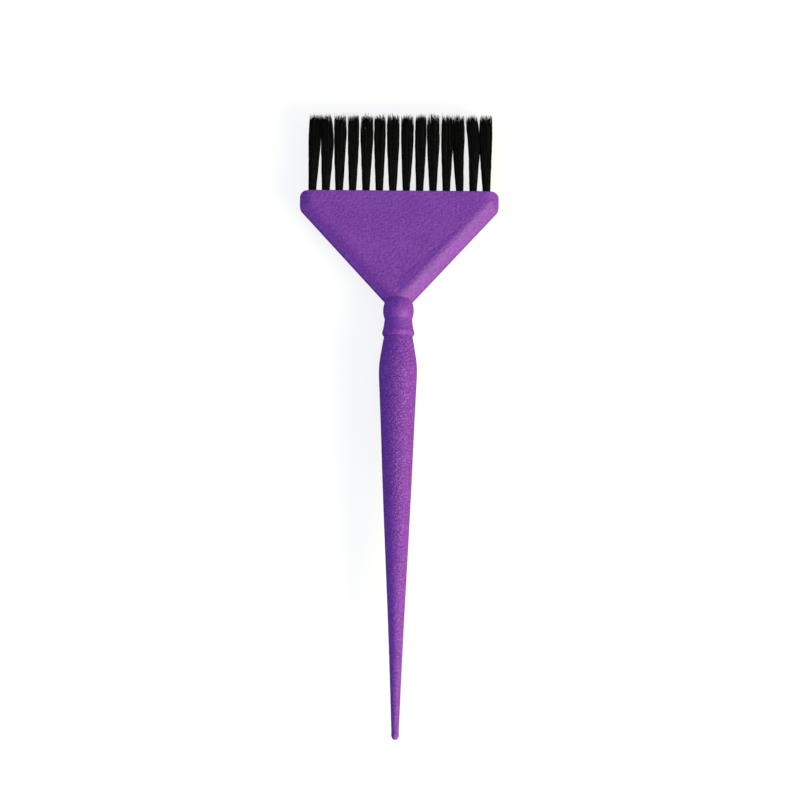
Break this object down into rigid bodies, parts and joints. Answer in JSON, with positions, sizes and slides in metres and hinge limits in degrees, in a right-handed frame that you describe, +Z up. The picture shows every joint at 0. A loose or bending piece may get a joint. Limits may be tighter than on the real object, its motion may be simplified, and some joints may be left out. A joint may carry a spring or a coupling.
{
  "type": "hair tint brush",
  "caption": "Wide flat hair tint brush: triangular moulded head with a turned neck and a long tapering handle, and two rows of black filament tufts.",
  "frame": {"origin": "on the table, below the middle of the brush's length and width, as it lies on its back", "axes": "+Y along the handle towards the filament tips, +X across the head, +Z up out of the front face"},
  "size_m": [0.0668, 0.21, 0.0127],
  "materials": {
    "purple_plastic": "purple polypropylene, fine spark-eroded texture, pebbled on the handle",
    "black_filament": "black crimped nylon filament, satin",
    "anchor_wire": "flat drawn anchor wire"
  },
  "bodies": {
    "root": {"head_and_handle": "purple_plastic", "tuft_front_01": "black_filament", "tuft_front_02": "black_filament", "tuft_front_03": "black_filament", "tuft_front_04": "black_filament", "tuft_front_05": "black_filament", "tuft_front_06": "black_filament", "tuft_front_07": "black_filament", "tuft_front_08": "black_filament", "tuft_front_09": "black_filament", "tuft_front_10": "black_filament", "tuft_front_11": "black_filament", "tuft_front_12": "black_filament", "tuft_front_13": "black_filament", "tuft_front_14": "black_filament", "tuft_back_01": "black_filament", "tuft_back_02": "black_filament", "tuft_back_03": "black_filament", "tuft_back_04": "black_filament", "tuft_back_05": "black_filament", "tuft_back_06": "black_filament", "tuft_back_07": "black_filament", "tuft_back_08": "black_filament", "tuft_back_09": "black_filament", "tuft_back_10": "black_filament", "tuft_back_11": "black_filament", "tuft_back_12": "black_filament", "tuft_back_13": "black_filament", "tuft_back_14": "black_filament", "anchor_front_01": "anchor_wire", "anchor_front_02": "anchor_wire", "anchor_front_03": "anchor_wire", "anchor_front_04": "anchor_wire", "anchor_front_05": "anchor_wire", "anchor_front_06": "anchor_wire", "anchor_front_07": "anchor_wire", "anchor_front_08": "anchor_wire", "anchor_front_09": "anchor_wire", "anchor_front_10": "anchor_wire", "anchor_front_11": "anchor_wire", "anchor_front_12": "anchor_wire", "anchor_front_13": "anchor_wire", "anchor_front_14": "anchor_wire", "anchor_back_01": "anchor_wire", "anchor_back_02": "anchor_wire", "anchor_back_03": "anchor_wire", "anchor_back_04": "anchor_wire", "anchor_back_05": "anchor_wire", "anchor_back_06": "anchor_wire", "anchor_back_07": "anchor_wire", "anchor_back_08": "anchor_wire", "anchor_back_09": "anchor_wire", "anchor_back_10": "anchor_wire", "anchor_back_11": "anchor_wire", "anchor_back_12": "anchor_wire", "anchor_back_13": "anchor_wire", "anchor_back_14": "anchor_wire"}
  },
  "joints": []
}
